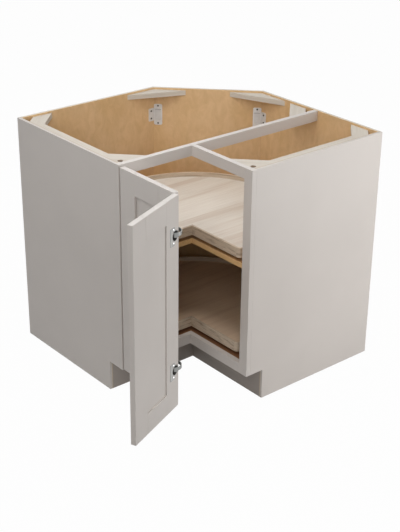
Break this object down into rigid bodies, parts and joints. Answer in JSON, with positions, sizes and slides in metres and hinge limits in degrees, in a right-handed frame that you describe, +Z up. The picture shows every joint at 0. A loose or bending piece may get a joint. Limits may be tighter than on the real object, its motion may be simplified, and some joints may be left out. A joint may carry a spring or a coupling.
{
  "type": "corner carousel cabinet",
  "caption": "L-fronted corner base cabinet with a diagonal back, a bi-fold pair of framed doors and turning kidney shelves on flat swivel bearings.",
  "frame": {"origin": "the point on the floor where the two room walls meet, which the diagonal back cuts off", "axes": "+Z up; the cabinet stands in the quarter x > 0, y < 0, with its backs on the walls x = 0 and y = 0 and its doors in the inner corner at +X, -Y"},
  "size_m": [1.0134, 1.1675, 0.8763],
  "materials": {
    "painted_wood": "satin grey paint",
    "natural_ply": "clear-coated plywood, warm tan",
    "block_wood": "bare pale hardwood",
    "shelf_wood": "clear-coated pale plywood with fine grain",
    "rim_wood": "bent plywood and solid nosing, clear-coated",
    "toe_paint": "dark grey paint in the toe space",
    "zinc_steel": "zinc plated",
    "nickel_steel": "nickel plated, satin",
    "bearing_steel": "polished balls",
    "dark_screw": "blackened screws",
    "clear_bumper": "clear soft bumper"
  },
  "bodies": {
    "cabinet": {"side_panel_left": "painted_wood", "side_panel_right": "painted_wood", "back_panel_left": "natural_ply", "back_panel_diagonal": "natural_ply", "back_panel_right": "natural_ply", "cabinet_floor": "natural_ply", "fixed_shelf": "natural_ply", "stile_left": "painted_wood", "stile_right": "painted_wood", "top_rail_and_stretcher": "painted_wood", "top_rail_right": "painted_wood", "bottom_rail_left": "painted_wood", "bottom_rail_right": "painted_wood", "toe_board_left": "toe_paint", "toe_board_right": "toe_paint", "side_cleat_left": "block_wood", "side_cleat_right": "block_wood", "front_block_left": "block_wood", "front_block_right": "block_wood", "rear_block_left": "block_wood", "rear_block_right": "block_wood", "stretcher_block": "block_wood", "blunt_block_left": "block_wood", "blunt_block_right": "block_wood", "corner_bracket_left": "zinc_steel", "corner_bracket_right": "zinc_steel", "bracket_screws": "dark_screw", "swivel_base_lower": "zinc_steel", "swivel_base_upper": "zinc_steel", "swivel_balls_lower": "bearing_steel", "swivel_balls_upper": "bearing_steel", "swivel_base_screws": "dark_screw", "door_hinge_arms": "nickel_steel", "door_hinge_arm_screws": "dark_screw"},
    "door_leaf_left": {"left_leaf_hinge_stile": "painted_wood", "left_leaf_fold_stile": "painted_wood", "left_leaf_top_rail": "painted_wood", "left_leaf_bottom_rail": "painted_wood", "left_leaf_panel": "painted_wood", "door_hinge_cups": "nickel_steel", "fold_hinge_arms": "nickel_steel", "left_leaf_screws": "dark_screw", "door_bumpers": "clear_bumper"},
    "door_leaf_right": {"right_leaf_fold_stile": "painted_wood", "right_leaf_free_stile": "painted_wood", "right_leaf_top_rail": "painted_wood", "right_leaf_bottom_rail": "painted_wood", "right_leaf_panel": "painted_wood", "fold_hinge_cups": "nickel_steel", "fold_hinge_cup_screws": "dark_screw"},
    "lower_carousel": {"lower_carousel_board": "shelf_wood", "lower_carousel_rim": "rim_wood", "lower_carousel_nosing": "rim_wood", "swivel_top_lower": "zinc_steel", "swivel_top_screws_lower": "dark_screw"},
    "upper_carousel": {"upper_carousel_board": "shelf_wood", "upper_carousel_rim": "rim_wood", "upper_carousel_nosing": "rim_wood", "swivel_top_upper": "zinc_steel", "swivel_top_screws_upper": "dark_screw"}
  },
  "joints": [
    {"name": "door_hinge", "type": "hinge", "parent": "cabinet", "child": "door_leaf_left", "pos_m": [0.6206, -0.90105, 0.495], "axis": [0, 0, -1], "range_deg": [-90, 17]},
    {"name": "bifold_hinge", "type": "hinge", "parent": "door_leaf_left", "child": "door_leaf_right", "pos_m": [0.89, -0.9121, 0.495], "axis": [0, 0, 1], "range_deg": [-22.5, 4.25]},
    {"name": "lower_carousel_turn", "type": "hinge", "parent": "cabinet", "child": "lower_carousel", "pos_m": [0.473, -0.473, 0.1584], "axis": [0, 0, 1], "range_deg": [-360, 360]},
    {"name": "upper_carousel_turn", "type": "hinge", "parent": "cabinet", "child": "upper_carousel", "pos_m": [0.473, -0.473, 0.5225], "axis": [0, 0, 1], "range_deg": [-360, 360]}
  ],
  "couplings": [
    {"joint": "bifold_hinge", "follows": "door_hinge", "ratio": 0.25}
  ]
}
